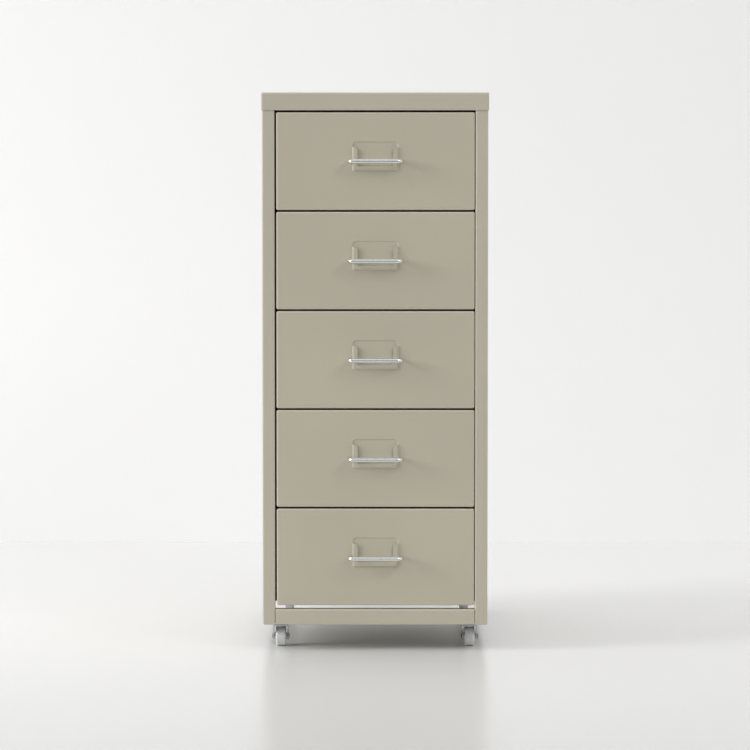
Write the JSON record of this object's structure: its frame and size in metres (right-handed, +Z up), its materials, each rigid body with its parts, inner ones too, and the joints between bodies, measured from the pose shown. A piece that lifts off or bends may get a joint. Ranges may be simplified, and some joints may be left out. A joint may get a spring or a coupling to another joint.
{
  "type": "metal drawer cabinet",
  "caption": "Narrow folded-steel drawer cabinet on swivel casters, with pressed label holders and chrome wire pulls.",
  "frame": {"origin": "on the floor, at the middle of the whole object's box, pulls and screw heads included", "axes": "+X to the right seen from the front, drawer fronts face -Y, +Z up"},
  "size_m": [0.28, 0.4544, 0.69],
  "materials": {
    "body_paint": "satin powder coat, warm grey beige, fine texture",
    "drawer_paint": "satin powder coat, warm grey beige, fine texture",
    "pull_chrome": "bright plated wire",
    "caster_zinc": "bright zinc plate, pressed",
    "fastener_zinc": "zinc plate",
    "axle_steel": "dark oiled rivet",
    "wheel_plastic": "pale translucent plastic, satin tread"
  },
  "bodies": {
    "cabinet": {"side_panel_left": "body_paint", "side_panel_right": "body_paint", "back_panel": "body_paint", "top_cap": "body_paint", "front_rail": "body_paint", "rear_rail": "body_paint", "back_screws": "fastener_zinc", "rail_screws": "fastener_zinc", "caster_nuts": "fastener_zinc", "runner_1_left": "body_paint", "runner_1_right": "body_paint", "runner_2_left": "body_paint", "runner_2_right": "body_paint", "runner_3_left": "body_paint", "runner_3_right": "body_paint", "runner_4_left": "body_paint", "runner_4_right": "body_paint", "runner_5_left": "body_paint", "runner_5_right": "body_paint", "caster_stem_front_left": "caster_zinc", "caster_stem_front_right": "caster_zinc", "caster_stem_rear_left": "caster_zinc", "caster_stem_rear_right": "caster_zinc"},
    "drawer_1": {"drawer_front_1": "drawer_paint", "drawer_tray_1": "drawer_paint", "drawer_back_1": "drawer_paint", "pull_1": "pull_chrome", "pull_screws_1": "fastener_zinc"},
    "drawer_2": {"drawer_front_2": "drawer_paint", "drawer_tray_2": "drawer_paint", "drawer_back_2": "drawer_paint", "pull_2": "pull_chrome", "pull_screws_2": "fastener_zinc"},
    "drawer_3": {"drawer_front_3": "drawer_paint", "drawer_tray_3": "drawer_paint", "drawer_back_3": "drawer_paint", "pull_3": "pull_chrome", "pull_screws_3": "fastener_zinc"},
    "drawer_4": {"drawer_front_4": "drawer_paint", "drawer_tray_4": "drawer_paint", "drawer_back_4": "drawer_paint", "pull_4": "pull_chrome", "pull_screws_4": "fastener_zinc"},
    "drawer_5": {"drawer_front_5": "drawer_paint", "drawer_tray_5": "drawer_paint", "drawer_back_5": "drawer_paint", "pull_5": "pull_chrome", "pull_screws_5": "fastener_zinc"},
    "fork_front_left": {"caster_fork_front_left": "caster_zinc", "caster_axle_front_left": "axle_steel"},
    "wheel_front_left": {"caster_wheel_front_left": "wheel_plastic"},
    "fork_front_right": {"caster_fork_front_right": "caster_zinc", "caster_axle_front_right": "axle_steel"},
    "wheel_front_right": {"caster_wheel_front_right": "wheel_plastic"},
    "fork_rear_left": {"caster_fork_rear_left": "caster_zinc", "caster_axle_rear_left": "axle_steel"},
    "wheel_rear_left": {"caster_wheel_rear_left": "wheel_plastic"},
    "fork_rear_right": {"caster_fork_rear_right": "caster_zinc", "caster_axle_rear_right": "axle_steel"},
    "wheel_rear_right": {"caster_wheel_rear_right": "wheel_plastic"}
  },
  "joints": [
    {"name": "drawer_1_slide", "type": "slide", "parent": "cabinet", "child": "drawer_1", "axis": [0, -1, 0], "range_m": [0, 0.3]},
    {"name": "drawer_2_slide", "type": "slide", "parent": "cabinet", "child": "drawer_2", "axis": [0, -1, 0], "range_m": [0, 0.3]},
    {"name": "drawer_3_slide", "type": "slide", "parent": "cabinet", "child": "drawer_3", "axis": [0, -1, 0], "range_m": [0, 0.3]},
    {"name": "drawer_4_slide", "type": "slide", "parent": "cabinet", "child": "drawer_4", "axis": [0, -1, 0], "range_m": [0, 0.3]},
    {"name": "drawer_5_slide", "type": "slide", "parent": "cabinet", "child": "drawer_5", "axis": [0, -1, 0], "range_m": [0, 0.3]},
    {"name": "swivel_front_left", "type": "hinge", "parent": "cabinet", "child": "fork_front_left", "pos_m": [-0.118, -0.1613, 0.028], "axis": [0, 0, 1], "continuous": true},
    {"name": "roll_front_left", "type": "hinge", "parent": "fork_front_left", "child": "wheel_front_left", "pos_m": [-0.118, -0.1523, 0.0125], "axis": [1, 0, 0], "continuous": true},
    {"name": "swivel_front_right", "type": "hinge", "parent": "cabinet", "child": "fork_front_right", "pos_m": [0.118, -0.1613, 0.028], "axis": [0, 0, 1], "continuous": true},
    {"name": "roll_front_right", "type": "hinge", "parent": "fork_front_right", "child": "wheel_front_right", "pos_m": [0.118, -0.1523, 0.0125], "axis": [1, 0, 0], "continuous": true},
    {"name": "swivel_rear_left", "type": "hinge", "parent": "cabinet", "child": "fork_rear_left", "pos_m": [-0.118, 0.1793, 0.028], "axis": [0, 0, 1], "continuous": true},
    {"name": "roll_rear_left", "type": "hinge", "parent": "fork_rear_left", "child": "wheel_rear_left", "pos_m": [-0.118, 0.1883, 0.0125], "axis": [1, 0, 0], "continuous": true},
    {"name": "swivel_rear_right", "type": "hinge", "parent": "cabinet", "child": "fork_rear_right", "pos_m": [0.118, 0.1793, 0.028], "axis": [0, 0, 1], "continuous": true},
    {"name": "roll_rear_right", "type": "hinge", "parent": "fork_rear_right", "child": "wheel_rear_right", "pos_m": [0.118, 0.1883, 0.0125], "axis": [1, 0, 0], "continuous": true}
  ]
}
